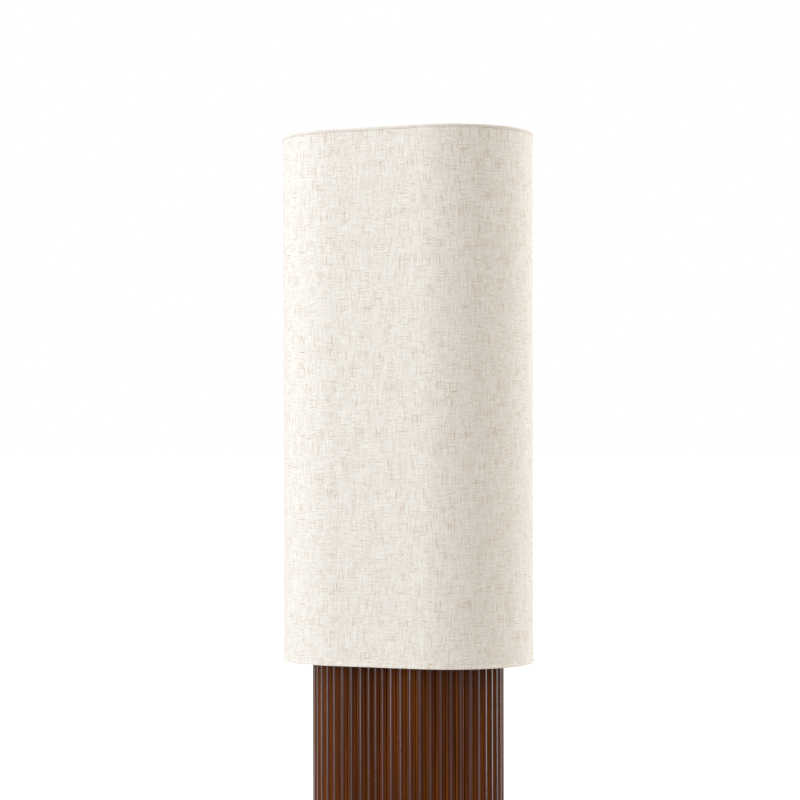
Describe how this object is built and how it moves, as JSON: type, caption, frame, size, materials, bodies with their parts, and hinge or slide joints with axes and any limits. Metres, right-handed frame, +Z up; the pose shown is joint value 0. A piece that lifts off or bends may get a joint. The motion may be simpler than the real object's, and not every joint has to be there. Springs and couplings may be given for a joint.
{
  "type": "column floor lamp",
  "caption": "Floor lamp: reeded dark wood column of oval plan on a weighted base, under a tall oval linen shade that lifts off its harp.",
  "frame": {"origin": "on the floor under the middle of the column", "axes": "+Z up; +X to the right along the long way of the oval; -Y is the front"},
  "size_m": [0.368, 0.236, 1.5],
  "materials": {
    "wood": "dark walnut, satin lacquer",
    "inner_wood": "plain sawn timber",
    "plywood": "plywood",
    "dark_steel": "black powder coat",
    "cast_ballast": "rough cast",
    "foot_rubber": "matt",
    "zinc_steel": "zinc plated",
    "black_plastic": "matt",
    "white_plastic": "matt",
    "plated_brass": "satin",
    "lead_jacket": "flexible jacket",
    "insulating_card": "pressed fibre",
    "holder_moulding": "moulded",
    "cap_metal": "bright",
    "cap_glass": "black vitrite",
    "frosted_glass": "frosted inside",
    "white_wire": "white enamel",
    "linen": "oatmeal slub linen",
    "shade_backing": "white laminate"
  },
  "bodies": {
    "frame": {"right_half_shell": "wood", "left_half_shell": "wood", "front_closing_strip": "wood", "back_closing_strip": "wood", "column_lid": "wood", "front_rail": "inner_wood", "back_rail": "inner_wood", "bottom_former": "plywood", "middle_former": "plywood", "top_former": "plywood", "base_plate": "dark_steel", "ballast_block": "cast_ballast", "rubber_feet": "foot_rubber", "lid_screws": "zinc_steel", "base_screws": "zinc_steel", "ballast_bolts": "zinc_steel", "shell_screws": "zinc_steel", "strip_screws": "zinc_steel", "terminal_fixing_screws": "zinc_steel", "hollow_rod": "zinc_steel", "rod_washer": "zinc_steel", "rod_nut": "zinc_steel", "lead_gland": "black_plastic", "terminal_block": "white_plastic", "terminal_clamp_screws": "plated_brass", "riser_foot_plate": "plated_brass", "riser_tube": "plated_brass", "riser_collar": "plated_brass", "harp_saddle": "plated_brass", "holder_cap": "plated_brass", "holder_shell": "plated_brass", "holder_threaded_sleeve": "plated_brass", "holder_contact": "plated_brass", "inner_lead": "lead_jacket", "holder_sleeve": "insulating_card", "holder_block": "holder_moulding"},
    "knob": {"switch_spindle": "plated_brass", "switch_knob": "black_plastic"},
    "bulb": {"bulb_cap": "cap_metal", "bulb_contact": "cap_metal", "bulb_insulator": "cap_glass", "bulb_glass": "frosted_glass"},
    "harp": {"harp": "plated_brass"},
    "left_ferrule": {"left_ferrule": "plated_brass"},
    "right_ferrule": {"right_ferrule": "plated_brass"},
    "shade": {"shade_spider": "white_wire", "shade_top_ring": "white_wire", "shade_bottom_ring": "white_wire", "shade_linen": "linen", "shade_bottom_hem": "linen", "shade_top_hem": "linen", "shade_liner": "shade_backing"},
    "finial": {"finial": "plated_brass"}
  },
  "joints": [
    {"name": "switch_turn", "type": "hinge", "parent": "frame", "child": "knob", "pos_m": [0, 0, 1.1985], "axis": [0, -1, 0], "continuous": true},
    {"name": "bulb_turn", "type": "hinge", "parent": "frame", "child": "bulb", "pos_m": [0, 0, 1.24], "axis": [0, 0, 1], "continuous": true},
    {"name": "harp_lift", "type": "slide", "parent": "frame", "child": "harp", "axis": [0, 0, 1], "range_m": [0, 0.03]},
    {"name": "left_ferrule_slide", "type": "slide", "parent": "harp", "child": "left_ferrule", "axis": [0, 0, 1], "range_m": [0, 0.016]},
    {"name": "right_ferrule_slide", "type": "slide", "parent": "harp", "child": "right_ferrule", "axis": [0, 0, 1], "range_m": [0, 0.016]},
    {"name": "shade_lift", "type": "slide", "parent": "harp", "child": "shade", "axis": [0, 0, 1], "range_m": [0, 0.745]},
    {"name": "finial_turn", "type": "hinge", "parent": "shade", "child": "finial", "pos_m": [0, 0, 1.48], "axis": [0, 0, 1], "continuous": true}
  ]
}
